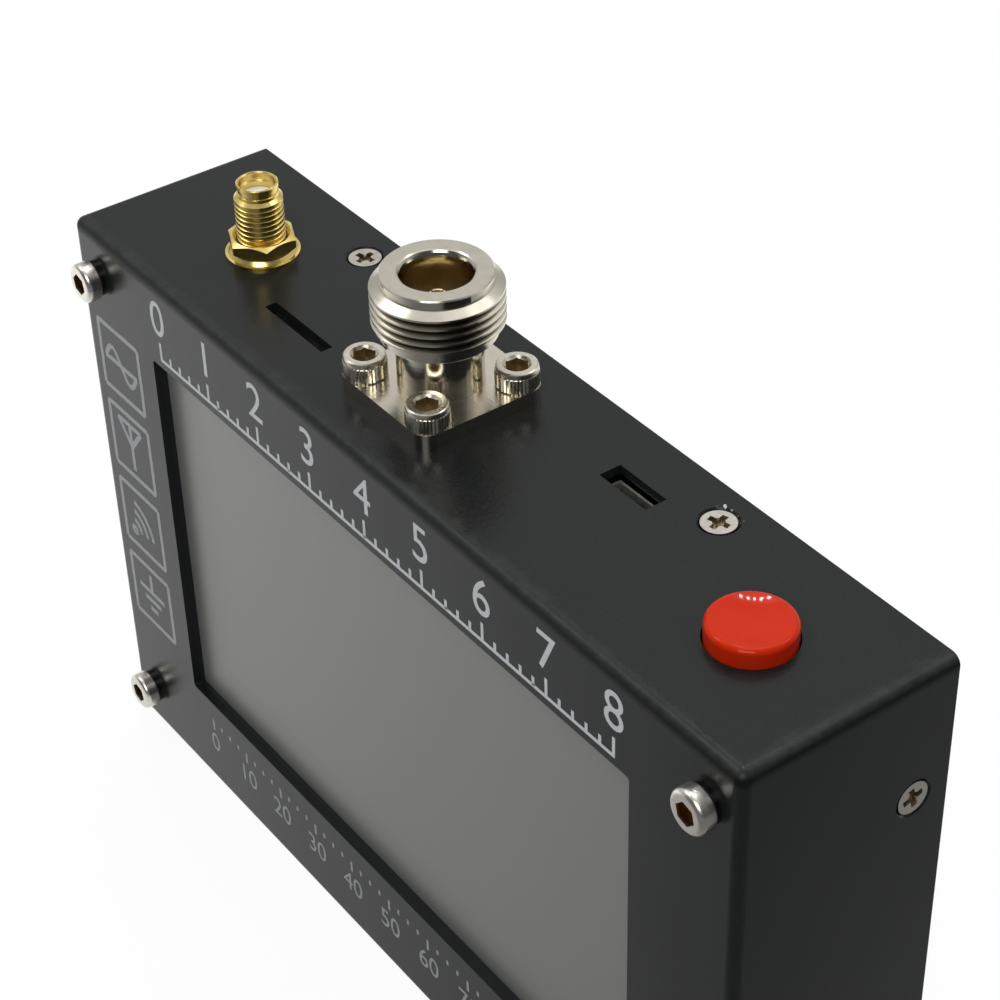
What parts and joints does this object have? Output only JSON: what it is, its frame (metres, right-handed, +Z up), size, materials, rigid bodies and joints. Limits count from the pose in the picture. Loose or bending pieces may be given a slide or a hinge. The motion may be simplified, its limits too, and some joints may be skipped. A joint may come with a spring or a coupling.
{
  "type": "antenna analyzer",
  "caption": "Hand-held radio test instrument: a black sheet-metal box with a touch screen, a large threaded jack, a small gold jack and a red push button on top.",
  "frame": {"origin": "centre of the flat bottom face of the case, which it stands on", "axes": "+Z up, jacks and button on top; the screen faces -Y; +X is to the right seen from the screen side"},
  "size_m": [0.1334, 0.032, 0.1017],
  "materials": {
    "case_paint": "fine satin black powder coat",
    "zinc_steel": "zinc plated, satin",
    "head_steel": "bright zinc plated",
    "black_nylon": "satin",
    "gasket_foam": "matte foam",
    "touch_film": "anti-glare film",
    "display_cell": "clear",
    "backlight_white": "satin",
    "thin_steel": "bright rolled",
    "foam_white": "matte",
    "board_green": "solder mask",
    "ribbon_amber": "smooth film",
    "connector_beige": "satin",
    "chip_black": "moulded",
    "tin_metal": "tinned",
    "nickel": "nickel plate",
    "gold": "gold plate",
    "ptfe": "waxy",
    "red_plastic": "glossy moulded",
    "switch_grey": "moulded",
    "spring_steel": "drawn wire",
    "battery_foil": "foil wrap",
    "lead_red": "smooth",
    "lead_black": "smooth",
    "coax_brown": "smooth",
    "shield_tin": "tinned"
  },
  "bodies": {
    "case": {"front_shell": "case_paint", "back_cover": "case_paint", "weld_nuts": "zinc_steel", "cover_screws": "head_steel", "front_screws": "head_steel", "front_washers": "black_nylon", "screen_gasket": "gasket_foam", "touch_panel": "touch_film", "display_frame": "thin_steel", "display_glass": "display_cell", "backlight": "backlight_white", "display_tape": "foam_white", "display_board": "board_green", "display_ribbon": "ribbon_amber", "touch_ribbon": "ribbon_amber", "ribbon_connectors": "connector_beige", "card_socket": "thin_steel", "controller_chip": "chip_black", "controller_legs": "tin_metal", "front_standoffs": "nickel", "rear_standoffs": "nickel", "board_screws": "zinc_steel", "main_board": "board_green", "header_socket": "chip_black", "header_base": "chip_black", "header_pins": "gold", "shield_can": "shield_tin", "signal_chips": "chip_black", "power_parts": "chip_black", "usb_shell": "thin_steel", "usb_tongue": "chip_black", "switch_body": "switch_grey", "switch_pins": "tin_metal", "switch_spring": "spring_steel", "battery": "battery_foil", "battery_tape": "foam_white", "battery_socket": "connector_beige", "battery_plug": "connector_beige", "battery_lead_positive": "lead_red", "battery_lead_negative": "lead_black", "jack_body": "nickel", "jack_insulator": "ptfe", "jack_contact": "gold", "jack_screws": "head_steel", "jack_nuts": "zinc_steel", "sma_body": "gold", "sma_insulator": "ptfe", "sma_contact": "gold", "sma_washer": "gold", "sma_nut": "gold", "jack_coax": "coax_brown", "sma_coax": "coax_brown", "coax_plugs": "gold", "coax_sockets": "gold"},
    "button": {"button_cap": "red_plastic", "switch_plunger": "ptfe"}
  },
  "joints": [
    {"name": "button_press", "type": "slide", "parent": "case", "child": "button", "axis": [0, 0, -1], "range_m": [0, 0.002], "stiffness_N_per_m": 600, "springref_m": -0.0015, "deforming": ["switch_spring"]}
  ]
}
